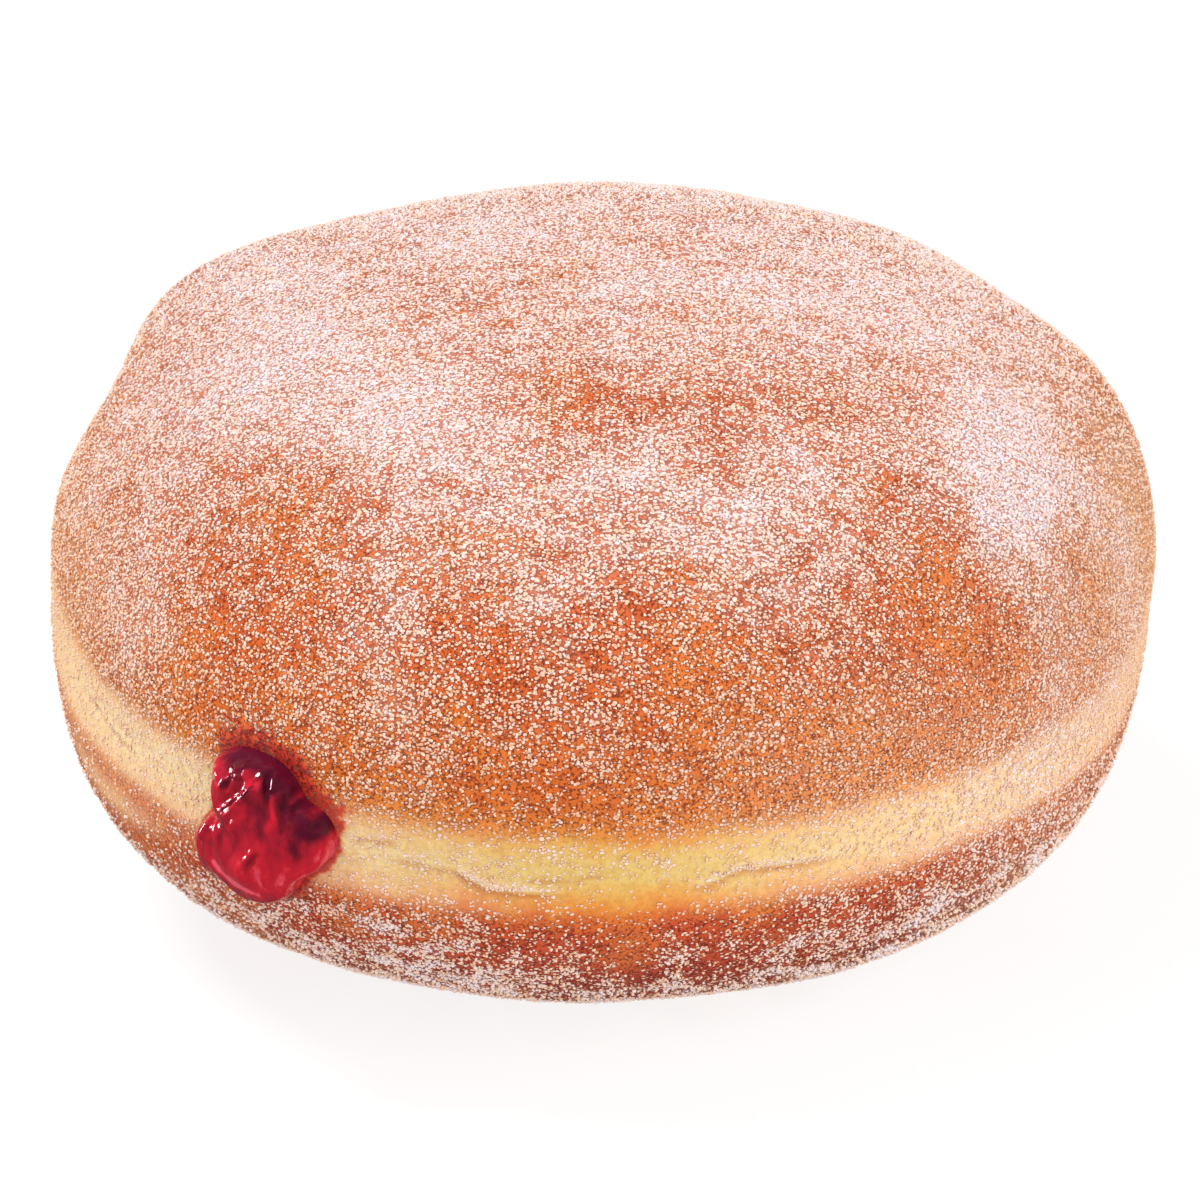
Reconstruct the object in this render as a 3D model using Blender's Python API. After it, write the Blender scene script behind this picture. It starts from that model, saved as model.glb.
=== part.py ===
"""A jelly filled doughnut, standing on its underside.

Two solids: the plump bun of fried dough, and the jelly, which starts as a pocket in the
middle, runs out through the filling hole in the side and bulges over the hole's mouth.
The origin is under the middle of the bun, +Z is up, and the filling hole is at the front left.
"""

from math import asin, atan2, cos, exp, pi, radians, sin

import bmesh
import bpy
from mathutils import Matrix, Vector

MM = 0.001

# The bun, measured from its widest line, which is a level line round the side.
BUN_RADIUS = 45.0 * MM
CROWN_HEIGHT = 28.2 * MM
BELLY_DEPTH = 25.1 * MM
FULLNESS = 2.47  # 2 gives an ellipse in section, and more gives fuller shoulders
FOOT_SETTLE = 1.6 * MM  # how far its own weight has flattened the underside
BUN_SEGMENTS = 80
BUN_RINGS = 38
RING_BUNCHING = 0.35  # draws the rings together near the widest line

# Lobes of the plan outline: how many, how far they stand out, azimuth of one crest.
PLAN_LOBES = (
    (2, 0.7 * MM, radians(35)),
    (3, 0.3 * MM, radians(15)),
    (4, 0.4 * MM, radians(-24)),
)

# Soft swells and dents: azimuth, height above the widest line, spread, push out (in if negative).
SWELLS = (
    (radians(17), 11 * MM, 7.0 * MM, 1.0 * MM),  # right shoulder
    (radians(33), 18 * MM, 6.0 * MM, -0.5 * MM),
    (radians(60), 22 * MM, 7.6 * MM, -0.5 * MM),  # dip behind the crown
    (radians(80), 23 * MM, 7.6 * MM, -0.4 * MM),
    (radians(110), 23 * MM, 7.6 * MM, -0.2 * MM),
    (radians(150), 17 * MM, 7.0 * MM, 2.2 * MM),  # left shoulder
    (radians(163), 12 * MM, 4.6 * MM, -1.5 * MM),  # hollow under the left shoulder
    (radians(176), 5 * MM, 7.6 * MM, 0.5 * MM),
    (radians(-153), -10 * MM, 7.6 * MM, 0.8 * MM),
    (radians(-113), -19 * MM, 7.6 * MM, -1.0 * MM),  # flat below the filling hole
    (radians(-84), -19 * MM, 7.6 * MM, -0.6 * MM),
    (radians(-48), -15 * MM, 7.6 * MM, 0.5 * MM),  # right of the front
    (radians(-10), -6 * MM, 7.6 * MM, -0.7 * MM),
)

# The pale proofing band runs round the side in a shallow groove, near the widest line.
BAND_HEIGHT = 0.6 * MM
BAND_TILT = 1.4 * MM
BAND_TILT_AZIMUTH = radians(194)  # where the tilted band is highest
BAND_WAVE = 0.6 * MM
BAND_WAVE_AZIMUTH = radians(150)
BAND_HALF_WIDTH = 2.6 * MM
BAND_GROOVE = 0.35 * MM

# The filling: a pocket in the middle, and the channel that the filling nozzle left.
GAP = 0.3 * MM
HOLE_AZIMUTH = radians(236)
CHANNEL_RADIUS = 3.2 * MM
CHANNEL_SIDES = 24
POCKET_RADIUS = 20.0 * MM
POCKET_HALF_HEIGHT = 8.0 * MM
POCKET_SEGMENTS = 36
POCKET_RINGS = 16
CUTTER_REACH = 1.2  # how far the channel's cutter runs, in distances to the mouth

# The jelly that has come out: it spreads over the crust round the hole.
BLOB_RADIUS = 5.8 * MM
BLOB_BULGE = 4.2 * MM
BLOB_SHIFT = 0.1 * MM  # to the right of the hole, seen from outside
BLOB_SAG = 1.2 * MM  # below the hole
BLOB_DETAIL = 4

# Lobes of its outline: turn from the right and anticlockwise, spread, push out.
BLOB_LOBES = (
    (radians(53), radians(12), -0.9 * MM),
    (radians(130), radians(26), 1.4 * MM),  # knob at the top
    (radians(160), radians(11), -2.4 * MM),  # notch at the left
    (radians(205), radians(12), 2.0 * MM),
    (radians(230), radians(20), 1.2 * MM),
    (radians(320), radians(23), -1.7 * MM),
)

CRUST_COLOUR = (0.55, 0.21, 0.07, 1.0)
JELLY_COLOUR = (0.42, 0.015, 0.03, 1.0)


def bell(distance, spread):
    """A smooth bump: 1 at no distance, falling away to 0 over about two spreads."""
    return exp(-0.5 * (distance / spread) ** 2)


def turn_between(a, b):
    """The smaller angle between two azimuths."""
    return abs((a - b + pi) % (2 * pi) - pi)


def band_height(azimuth):
    """Height of the band's middle above the widest line."""
    tilt = BAND_TILT * cos(azimuth - BAND_TILT_AZIMUTH)
    wave = BAND_WAVE * cos(2 * (azimuth - BAND_WAVE_AZIMUTH))
    return BAND_HEIGHT + tilt + wave


def plan_radius(azimuth):
    lobes = sum(push * cos(count * (azimuth - crest)) for count, push, crest in PLAN_LOBES)
    return BUN_RADIUS + lobes


def bun_section(azimuth, lift):
    """A point of the plain bun, lift being 0 at the widest line and a right angle at the crown."""
    height = CROWN_HEIGHT if lift > 0 else BELLY_DEPTH
    reach = (abs(cos(lift)) ** FULLNESS + abs(sin(lift)) ** FULLNESS) ** (-1 / FULLNESS)
    across = plan_radius(azimuth) * reach * cos(lift)
    return Vector((across * cos(azimuth), across * sin(azimuth), height * reach * sin(lift)))


def swell_centre(azimuth, height):
    """The point of the plain bun at this azimuth and height."""
    half = CROWN_HEIGHT if height > 0 else BELLY_DEPTH
    across = plan_radius(azimuth) * (1 - abs(height / half) ** FULLNESS) ** (1 / FULLNESS)
    return Vector((across * cos(azimuth), across * sin(azimuth), height))


def bun_point(azimuth, lift):
    """A point of the bun with its swells, its band groove and its settled foot."""
    point = bun_section(azimuth, lift)
    flatness = BUN_RADIUS / CROWN_HEIGHT
    outward = Vector((point.x, point.y, point.z * flatness ** 2)).normalized()
    push = 0.0
    for swell_azimuth, height, spread, amount in SWELLS:
        distance = (point - swell_centre(swell_azimuth, height)).length
        push += amount * bell(distance, spread)
    push -= BAND_GROOVE * bell(point.z - band_height(azimuth), BAND_HALF_WIDTH)
    point += outward * push
    point.z = max(point.z, FOOT_SETTLE - BELLY_DEPTH)
    return point


def add_object(name, mesh, collection):
    obj = bpy.data.objects.new(name, mesh)
    collection.objects.link(obj)
    return obj


def new_mesh(name, shape):
    """The mesh of a finished bmesh, with its faces pointing outwards."""
    bmesh.ops.recalc_face_normals(shape, faces=shape.faces)
    mesh = bpy.data.meshes.new(name)
    shape.to_mesh(mesh)
    shape.free()
    mesh.shade_smooth()
    return mesh


def bun_mesh(name):
    """A UV sphere whose points are moved out to the bun's surface, standing on its foot."""
    shape = bmesh.new()
    bmesh.ops.create_uvsphere(shape, u_segments=BUN_SEGMENTS, v_segments=BUN_RINGS, radius=1)
    for vert in shape.verts:
        azimuth = atan2(vert.co.y, vert.co.x)
        lift = asin(max(-1.0, min(1.0, vert.co.z)))
        lift -= RING_BUNCHING * sin(2 * lift) / 2
        vert.co = bun_point(azimuth, lift)
    bmesh.ops.translate(shape, verts=shape.verts, vec=resting_shift(shape))
    return new_mesh(name, shape)


def resting_shift(shape):
    """What brings the bun's foot to the ground and the middle of its outline over the origin."""
    xs = [vert.co.x for vert in shape.verts]
    ys = [vert.co.y for vert in shape.verts]
    middle = Vector(((min(xs) + max(xs)) / 2, (min(ys) + max(ys)) / 2, 0))
    return Vector((0, 0, BELLY_DEPTH - FOOT_SETTLE)) - middle


def ellipsoid_mesh(name, radius, half_height):
    shape = bmesh.new()
    bmesh.ops.create_uvsphere(shape, u_segments=POCKET_SEGMENTS, v_segments=POCKET_RINGS, radius=1)
    bmesh.ops.scale(shape, verts=shape.verts, vec=(radius, radius, half_height))
    return new_mesh(name, shape)


def channel_mesh(name, radius, length):
    """A round bar that starts at the origin and runs along +X."""
    shape = bmesh.new()
    bmesh.ops.create_cone(
        shape,
        cap_ends=True,
        segments=CHANNEL_SIDES,
        radius1=radius,
        radius2=radius,
        depth=length,
    )
    bmesh.ops.translate(shape, verts=shape.verts, vec=(0, 0, length / 2))
    bmesh.ops.rotate(shape, verts=shape.verts, matrix=Matrix.Rotation(pi / 2, 3, "Y"))
    return new_mesh(name, shape)


def blob_mesh(name):
    """A lobed drop. X points out of the bun, Y to the right as seen from outside, Z up."""
    shape = bmesh.new()
    bmesh.ops.create_icosphere(shape, subdivisions=BLOB_DETAIL, radius=1)
    for vert in shape.verts:
        out, right, up = vert.co
        rim = (right ** 2 + up ** 2) ** 0.5
        turn = atan2(up, right)
        lobes = sum(push * bell(turn_between(turn, at), spread) for at, spread, push in BLOB_LOBES)
        radius = BLOB_RADIUS + lobes * rim ** 2
        vert.co = (out * BLOB_BULGE, right * radius + BLOB_SHIFT, up * radius - BLOB_SAG)
    return new_mesh(name, shape)


def material(name, colour, roughness):
    made = bpy.data.materials.new(name)
    made.use_nodes = True
    shader = made.node_tree.nodes["Principled BSDF"]
    shader.inputs["Base Color"].default_value = colour
    shader.inputs["Roughness"].default_value = roughness
    shader.inputs["Metallic"].default_value = 0.0
    return made


def add_boolean(obj, operation, other):
    modifier = obj.modifiers.new(f"{operation} {other.name}", "BOOLEAN")
    modifier.operation = operation
    modifier.solver = "EXACT"
    modifier.object = other


def as_helper(obj):
    obj.hide_render = True
    obj.display_type = "WIRE"
    return obj


def clear_scene():
    for obj in list(bpy.data.objects):
        bpy.data.objects.remove(obj, do_unlink=True)
    for collection in list(bpy.data.collections):
        bpy.data.collections.remove(collection)


def new_collection(name):
    collection = bpy.data.collections.new(name)
    bpy.context.scene.collection.children.link(collection)
    return collection


def place_on_hole(obj, middle, distance):
    """Puts an object on the hole's axis with its X pointing out of the bun."""
    outward = Vector((cos(HOLE_AZIMUTH), sin(HOLE_AZIMUTH), 0))
    obj.location = middle + outward * distance
    obj.rotation_euler = (0, 0, HOLE_AZIMUTH)


def main():
    clear_scene()
    doughnut = new_collection("jelly_doughnut")
    helpers = new_collection("cutters")

    dough = add_object("dough", bun_mesh("dough"), doughnut)
    dough.data.materials.append(material("fried crust", CRUST_COLOUR, 0.7))

    mouth = bun_point(HOLE_AZIMUTH, asin(band_height(HOLE_AZIMUTH) / CROWN_HEIGHT))
    widest_line = BELLY_DEPTH - FOOT_SETTLE
    mouth_distance = (mouth.x ** 2 + mouth.y ** 2) ** 0.5
    middle = Vector((0, 0, widest_line + band_height(HOLE_AZIMUTH)))

    pocket_space = ellipsoid_mesh("pocket_space", POCKET_RADIUS + GAP, POCKET_HALF_HEIGHT + GAP)
    pocket_cutter = as_helper(add_object("pocket_cutter", pocket_space, helpers))
    pocket_cutter.location = middle
    channel_space = channel_mesh("channel_space", CHANNEL_RADIUS + GAP, CUTTER_REACH * mouth_distance)
    channel_cutter = as_helper(add_object("channel_cutter", channel_space, helpers))
    place_on_hole(channel_cutter, middle, 0)
    add_boolean(dough, "DIFFERENCE", pocket_cutter)
    add_boolean(dough, "DIFFERENCE", channel_cutter)

    # The blob is trimmed to the crust, with a gap all round, and then joined to the filling.
    clearance = as_helper(add_object("crust_clearance", bun_mesh("crust_clearance"), helpers))
    swollen = clearance.modifiers.new("Gap", "DISPLACE")
    swollen.strength = GAP
    swollen.mid_level = 0
    pocket = ellipsoid_mesh("pocket_filling", POCKET_RADIUS, POCKET_HALF_HEIGHT)
    pocket_filling = as_helper(add_object("pocket_filling", pocket, helpers))
    pocket_filling.location = middle
    channel = channel_mesh("channel_filling", CHANNEL_RADIUS, mouth_distance + BLOB_BULGE / 2)
    channel_filling = as_helper(add_object("channel_filling", channel, helpers))
    place_on_hole(channel_filling, middle, 0)

    jelly = add_object("jelly", blob_mesh("jelly"), doughnut)
    jelly.data.materials.append(material("red jelly", JELLY_COLOUR, 0.08))
    place_on_hole(jelly, middle, mouth_distance)
    add_boolean(jelly, "DIFFERENCE", clearance)
    add_boolean(jelly, "UNION", channel_filling)
    add_boolean(jelly, "UNION", pocket_filling)


main()
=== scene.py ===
# A sugared jelly doughnut: the fried crust with its pale band, the jelly that has come out
# at the filling hole, and the sugar grains. Sizes in the dictionaries are in millimetres,
# apart from the stage and the lights, which are in metres.
import math

import bpy
import numpy as np
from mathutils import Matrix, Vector, noise
from mathutils.bvhtree import BVHTree


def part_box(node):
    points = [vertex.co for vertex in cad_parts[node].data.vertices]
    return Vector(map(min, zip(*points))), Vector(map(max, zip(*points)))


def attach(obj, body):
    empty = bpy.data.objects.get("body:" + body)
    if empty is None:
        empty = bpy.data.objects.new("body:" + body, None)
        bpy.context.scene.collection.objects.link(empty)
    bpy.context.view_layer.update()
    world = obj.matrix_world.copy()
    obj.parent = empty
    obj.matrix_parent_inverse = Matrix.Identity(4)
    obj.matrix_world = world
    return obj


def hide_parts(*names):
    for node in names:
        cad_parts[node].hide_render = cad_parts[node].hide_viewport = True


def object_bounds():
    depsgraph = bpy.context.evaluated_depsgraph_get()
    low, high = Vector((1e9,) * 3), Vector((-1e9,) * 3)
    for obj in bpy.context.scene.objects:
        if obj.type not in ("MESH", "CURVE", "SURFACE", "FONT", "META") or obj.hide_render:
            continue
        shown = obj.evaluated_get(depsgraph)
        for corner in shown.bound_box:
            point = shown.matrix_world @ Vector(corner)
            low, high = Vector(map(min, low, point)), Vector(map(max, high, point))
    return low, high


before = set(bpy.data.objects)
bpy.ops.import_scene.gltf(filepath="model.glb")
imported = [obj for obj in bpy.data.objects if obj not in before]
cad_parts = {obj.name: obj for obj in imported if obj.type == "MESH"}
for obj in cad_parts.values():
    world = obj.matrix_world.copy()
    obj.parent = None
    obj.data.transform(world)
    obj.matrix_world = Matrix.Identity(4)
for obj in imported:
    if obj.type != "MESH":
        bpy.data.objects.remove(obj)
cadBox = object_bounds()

mm = 0.001


def deselectAll():
    bpy.ops.object.select_all(action="DESELECT")


def pick(thing):
    deselectAll()
    thing.select_set(True)
    bpy.context.view_layer.objects.active = thing
    return thing


def finishWith(thing, kind, **settings):
    # adds a modifier, sets it up and applies it
    pick(thing)
    modifier = thing.modifiers.new(kind.lower(), kind)
    for setting, value in settings.items():
        setattr(modifier, setting, value)
    bpy.ops.object.modifier_apply(modifier=modifier.name)


def pointsOf(thing):
    flat = np.empty(len(thing.data.vertices) * 3)
    thing.data.vertices.foreach_get("co", flat)
    return flat.reshape(-1, 3)


def movePoints(thing, points):
    thing.data.vertices.foreach_set("co", np.asarray(points).ravel())
    thing.data.update()


def outwardsOf(thing):
    flat = np.empty(len(thing.data.vertices) * 3)
    thing.data.vertices.foreach_get("normal", flat)
    return flat.reshape(-1, 3)


def keepValues(thing, name, values):
    # one number for each point, which the material reads by name
    layer = thing.data.attributes.new(name, "FLOAT", "POINT")
    layer.data.foreach_set("value", np.asarray(values, np.float32))


def bell(distance):
    return np.exp(-0.5 * np.square(distance))


def rise(values, low, high):
    # goes smoothly from 0 at low to 1 at high
    share = np.clip((values - low) / (high - low), 0, 1)
    return share * share * (3 - 2 * share)


def turnedFrom(azimuth, degrees):
    # how far round the bun each point is from this azimuth, in degrees
    return (np.degrees(azimuth) - degrees + 180) % 360 - 180


def lumps(points, size, seed=0.0):
    # soft noise from about -1 to 1, with lumps of this size in millimetres
    spread = points / (size * mm) + seed
    return np.array([noise.noise(spot) for spot in spread.tolist()])


def linear(red, green, blue):
    # a given colour, as the shader wants it
    parts = [part / 255 for part in (red, green, blue)]
    bright = [p / 12.92 if p <= 0.04045 else ((p + 0.055) / 1.055) ** 2.4 for p in parts]
    return (*bright, 1.0)


def rampStops(stops):
    return [(at, linear(*colour)) for at, colour in stops]


def grey(bright):
    return (bright, bright, bright, 1)


class Link:
    # a socket that takes part in sums
    def __init__(self, sheet, socket):
        self.sheet = sheet
        self.socket = socket

    def sum(self, operation, first, second):
        return self.sheet.node("Math", {"operation": operation}, {0: first, 1: second})

    def __add__(self, other):
        return self.sum("ADD", self, other)

    def __radd__(self, other):
        return self.sum("ADD", other, self)

    def __sub__(self, other):
        return self.sum("SUBTRACT", self, other)

    def __rsub__(self, other):
        return self.sum("SUBTRACT", other, self)

    def __mul__(self, other):
        return self.sum("MULTIPLY", self, other)

    def __rmul__(self, other):
        return self.sum("MULTIPLY", other, self)

    def atMost(self, other):
        return self.sum("MINIMUM", self, other)

    def atLeast(self, other):
        return self.sum("MAXIMUM", self, other)


class Finish:
    # a material, or the world, that is written node by node
    def __init__(self, name, kind="materials", shader="Principled BSDF"):
        self.owner = getattr(bpy.data, kind).new(name)
        self.owner.use_nodes = True
        self.tree = self.owner.node_tree
        self.shader = self.tree.nodes[shader]

    def node(self, kind, settings, sockets, output=0):
        made = self.tree.nodes.new("ShaderNode" + kind)
        for setting, value in settings.items():
            if setting == "stops":
                self.setStops(made.color_ramp, value)
            else:
                setattr(made, setting, value)
        self.feed(made, sockets)
        return Link(self, made.outputs[output])

    def setStops(self, ramp, stops):
        while len(ramp.elements) > 1:
            ramp.elements.remove(ramp.elements[-1])
        for place, colour in stops[1:]:
            ramp.elements.new(place).color = colour
        ramp.elements[0].position, ramp.elements[0].color = stops[0]

    def feed(self, made, sockets):
        for name, value in sockets.items():
            if isinstance(value, Link):
                self.tree.links.new(value.socket, made.inputs[name])
            else:
                made.inputs[name].default_value = value

    def place(self):
        return self.node("TexCoord", {}, {}, "Object")

    def value(self, name):
        return self.node("Attribute", {"attribute_name": name}, {}, "Fac")

    def stretched(self, vector, scale):
        return self.node("Mapping", {}, {"Vector": vector, "Scale": scale})

    def cloud(self, vector, size, detail=2.0, rough=0.5):
        sockets = {"Vector": vector, "Scale": 1 / (size * mm)}
        sockets.update({"Detail": detail, "Roughness": rough})
        return self.node("TexNoise", {}, sockets)

    def between(self, value, low, high, start=0.0, end=1.0):
        sockets = {"Value": value, "From Min": low, "From Max": high}
        sockets.update({"To Min": start, "To Max": end})
        return self.node("MapRange", {"interpolation_type": "SMOOTHSTEP"}, sockets)

    def mix(self, share, first, second, blend="MIX"):
        sockets = {0: share, 6: first, 7: second}
        settings = {"data_type": "RGBA", "blend_type": blend}
        return self.node("Mix", settings, sockets, 2)

    def specks(self, vector, size, reach, share):
        # scattered specks of this size: how many are there grows with share
        sockets = {"Vector": vector, "Scale": 1 / (size * mm), "Randomness": 1.0}
        gap = self.node("TexVoronoi", {"feature": "F1", "distance": "EUCLIDEAN"}, sockets)
        chance = self.node("SeparateColor", {}, {0: Link(self, gap.socket.node.outputs[1])})
        tone = Link(self, chance.socket.node.outputs[1])
        there = self.between(share - chance, -0.02, 0.02)
        speck = self.between(gap - reach, 0.05, -0.05) * there
        # the ring is painted shadow round each speck, where it would shade the crust
        ring = self.between(gap - reach - 0.15, 0.05, -0.05) * there
        return speck, ring, tone

    def bump(self, height, distance, strength=1.0, below=None):
        sockets = {"Height": height, "Distance": distance * mm, "Strength": strength}
        if below is not None:
            sockets["Normal"] = below
        return self.node("Bump", {}, sockets)

    def wear(self, thing):
        thing.data.materials.clear()
        thing.data.materials.append(self.owner)


# measures taken from the frame
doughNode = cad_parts["dough"]
doughPoints = pointsOf(doughNode)
reach = np.hypot(doughPoints[:, 0], doughPoints[:, 1])
outerReach = float(reach.max())
widestLine = float(doughPoints[reach > outerReach - 1.5 * mm][:, 2].mean())
crownTop = float(doughPoints[:, 2].max())

jellyLow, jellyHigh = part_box("jelly")
holeHeight = (jellyLow.z + jellyHigh.z) / 2
jellyPoints = pointsOf(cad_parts["jelly"])
outerPart = outerReach * 0.86      # past this lie the blob and the crust round it
comeOut = jellyPoints[np.hypot(jellyPoints[:, 0], jellyPoints[:, 1]) > outerPart]
rimPoints = doughPoints[reach > outerPart]
middlePoint = comeOut.mean(0)
for closeness in (6.0, 4.4, 3.9):      # closes in on the middle of the hole
    toMiddle = rimPoints - np.array((middlePoint[0], middlePoint[1], holeHeight))
    middlePoint = rimPoints[np.linalg.norm(toMiddle, axis=1) < closeness * mm].mean(0)
holeTurn = math.atan2(middlePoint[1], middlePoint[0])
out = Vector((math.cos(holeTurn), math.sin(holeTurn), 0))
across = Vector((-math.sin(holeTurn), math.cos(holeTurn), 0))
print("hole at", round(math.degrees(holeTurn), 2), "degrees, height", round(holeHeight / mm, 2))


crustLook = {
    "segments": 720,
    "rings": 131,
    "frontBunching": 0.16,     # closer points at the front than at the back
    "bandSpacing": 0.30,       # between rings on the pale band
    "plainSpacing": 1.10,      # and elsewhere
    "bandReach": 5.0,
    "fullness": 2.47,
    "footLift": 0.15,          # the grains under the foot carry the crust
    # lumps of the fried skin: height, size, seed, and how much calmer the pale band is
    "lumps": [(0.22, 12, 3.1, 0.5), (0.06, 4.6, 7.7, 0.8), (0.035, 1.5, 1.3, 0.7)],
    "stainReach": 1.45,        # how far the jelly has soaked in
}

# The pale band's middle line, as height above the ground.
bandLine = {
    "height": 24.1,
    "tilt": 0.45,
    "highestAt": 200.0,
    "wave": -0.35,
    "waveAt": 120.0,
    "goldenAt": 271.0,         # the rest of the band is paler
    "goldenSpread": 17.0,
    "lowerBy": 0.35,           # how far its colours lie below its middle line
    "narrow": 1.25,            # more is a narrower band
    # azimuth, spread and amount of where the band is narrower, and the belly less browned
    "narrowing": [(211, 18, 0.20), (318, 14, 0.26), (338, 8, 0.25)],
    "goldenBelly": [(208, 15, 0.54)],
    "goldenFrom": (3.6, 7.5),  # how far below the band that starts and is full
}

# Folds on the band: points as (azimuth, height), then how far the lip stands out over
# the groove, how deep the groove is, and how wide they are.
bandFolds = [
    {"path": [(254.5, 23.9), (256.5, 22.9), (258.5, 22.0), (262, 21.8), (267, 21.7)],
     "lip": 0.26, "groove": 0.34, "width": 0.30},
    {"path": [(262, 23.0), (266, 23.1), (272, 23.5)],
     "lip": 0.04, "groove": 0.22, "width": 0.20},
    {"path": [(278, 21.4), (281, 21.8), (284, 22.6), (287, 22.5), (291, 22.2), (298, 22.0)],
     "lip": 0.22, "groove": 0.30, "width": 0.26},
    {"path": [(276.2, 24.7), (275.6, 24.0), (276.6, 23.2)],
     "lip": 0.14, "groove": 0.08, "width": 0.30},
    {"path": [(248.5, 23.8), (252, 23.6), (256, 23.4)],
     "lip": 0.08, "groove": 0.20, "width": 0.24},
    {"path": [(244.5, 24.8), (247, 25.1), (250, 25.2)],
     "lip": 0.06, "groove": 0.20, "width": 0.24},
    {"path": [(317, 24.2), (323, 24.0), (330, 23.5)],
     "lip": 0.06, "groove": 0.14, "width": 0.22},
    {"path": [(321, 22.9), (327, 22.8), (333, 22.4)],
     "lip": 0.06, "groove": 0.14, "width": 0.22},
]

# The profile of a fold across its path, in widths: middle and spread of lip and groove.
foldLook = {
    "lip": (1.0, 1.1),
    "groove": (-0.6, 0.75),
    "fade": 0.25,              # the share of its length over which each end dies out
    "backSeed": 11,
    "backAt": (2, 26, 47, 71, 98, 121, 149, 166, 187, 205, 224, 343),
}

# How thickly sugar lies, from 0 to 1: everywhere, then how much more, rising from one
# height to another. The crown's heights are above the band.
dustCover = {
    "crown": 0.19,
    "crownRises": [(0.20, 3.0, 11), (0.33, 12, 24)],
    "belly": 0.14,
    "bellyBelow": (0.20, 4.5, 8),            # below the band
    "bottomEdge": (0.24, -16.5, -12.5),      # height above the ground, turned over
    "most": 1.3,
    "least": 0.02,
    # azimuth, spread and amount of what has caught on the band
    "caught": [(326, 16, 0.55), (218, 16, 0.20)],
    "caughtReach": 5.0,
}

# Patches on the crown where sugar lies thicker (or thinner): x, y, spread, amount.
crownPatches = [
    (32, -17, 3.8, 0.62), (31, -9, 3.0, 0.25), (33, -22, 2.6, 0.25), (38, -19, 3.0, -0.24),
    (-14, -19, 4.5, 0.28), (3, -12, 4.0, 0.18), (21, 1, 5.0, 0.16), (8, 2, 4.0, 0.18),
    (-9, 10, 4.0, 0.26), (-26, -7, 6.0, 0.24), (-36, -23, 3.5, 0.12), (-37, -20, 5.0, 0.16),
    (-41, -6, 5.0, 0.20),
    (0, -24, 4.0, 0.12), (-20, -24, 3.5, -0.16), (24, -13, 4.0, -0.20), (12, -17, 3.5, -0.16),
    (6, -37, 5.0, -0.16), (28, -30, 6.0, -0.18), (-10, -37, 5.0, -0.14), (-28, 11, 5.0, 0.16),
    (-9, 2, 4.0, -0.16), (10, -30, 5.0, 0.12), (-2, -17, 3.5, -0.14), (-25, -27, 5.0, -0.16),
    (-15, -40, 3.0, 0.24), (0, -17, 6.0, -0.28),
    (41, -13, 4.0, 0.26), (-30, -18, 4.0, -0.10), (24, -24, 4.0, -0.06),
]

# The same for the belly: azimuth, height, spread, amount.
bellyPatches = [
    (278, 15.5, 1.6, 0.30), (274, 13.0, 2.0, -0.45), (281, 13.5, 1.6, -0.25),
    (293, 17.5, 2.2, 0.28), (250, 16.0, 7.0, 0.20), (276, 17.0, 4.5, -0.14),
    (312, 17.0, 6.0, 0.14), (214, 15.0, 7.0, -0.22),
]

# Places where the crust is paler, partly painted rim light at the right edge: azimuth, its
# spread, height above the band, its spread, and amount.
paleAndRimLitPlaces = [
    (350, 16, 8, 8.0, 0.95), (190, 12, 6, 5.0, 0.60), (300, 12, 6, 4.0, 0.35),
    (326, 12, -8, 5.0, 0.25),
]


def bandMiddle(azimuth):
    tilt = bandLine["tilt"] * np.cos(azimuth - math.radians(bandLine["highestAt"]))
    wave = bandLine["wave"] * np.cos(2 * (azimuth - math.radians(bandLine["waveAt"])))
    return (bandLine["height"] + tilt + wave) * mm


def smoothBun():
    # a copy of the dough's outside, closed over the filling hole and rounded
    bun = bpy.data.objects.new("smoothBun", doughNode.data.copy())
    bpy.context.scene.collection.objects.link(bun)
    pick(bun)
    bpy.context.tool_settings.mesh_select_mode = (False, False, True)
    bpy.ops.object.mode_set(mode="EDIT")
    bpy.ops.mesh.select_all(action="SELECT")
    bpy.ops.mesh.remove_doubles(threshold=0.005 * mm)
    bpy.ops.mesh.select_all(action="DESELECT")
    bpy.ops.object.mode_set(mode="OBJECT")
    middle = Vector((0, 0, holeHeight))
    for face in bun.data.polygons:
        face.select = face.normal.dot((face.center - middle).normalized()) < 0.35
    bpy.ops.object.mode_set(mode="EDIT")
    bpy.ops.mesh.delete(type="FACE")
    bpy.ops.mesh.select_mode(type="EDGE")
    bpy.ops.mesh.select_all(action="DESELECT")
    bpy.ops.mesh.select_non_manifold()
    bpy.ops.mesh.edge_face_add()
    bpy.ops.mesh.select_all(action="SELECT")
    bpy.ops.mesh.tris_convert_to_quads()
    bpy.ops.object.mode_set(mode="OBJECT")
    finishWith(bun, "SUBSURF", levels=2, render_levels=2)
    return bun


def ringLifts():
    # where the rings lie, closer together on the band than elsewhere
    lifts = np.linspace(-math.pi / 2, math.pi / 2, 4001)
    power = crustLook["fullness"]
    span = (np.abs(np.cos(lifts)) ** power + np.abs(np.sin(lifts)) ** power) ** (-1 / power)
    heights = np.where(lifts > 0, crownTop - widestLine, widestLine) * span * np.sin(lifts)
    widths = outerReach * span * np.cos(lifts)
    steps = np.hypot(np.diff(heights), np.diff(widths))
    near = bell((heights + widestLine - bandLine["height"] * mm) / (crustLook["bandReach"] * mm))
    spacing = 1 / (1 / crustLook["plainSpacing"]
                   + near * (1 / crustLook["bandSpacing"] - 1 / crustLook["plainSpacing"]))
    counted = np.concatenate([[0], np.cumsum(steps / spacing[1:])])
    wanted = np.linspace(0, counted[-1], crustLook["rings"] + 1)
    return np.interp(wanted, counted, widths), np.interp(wanted, counted, heights)


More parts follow.
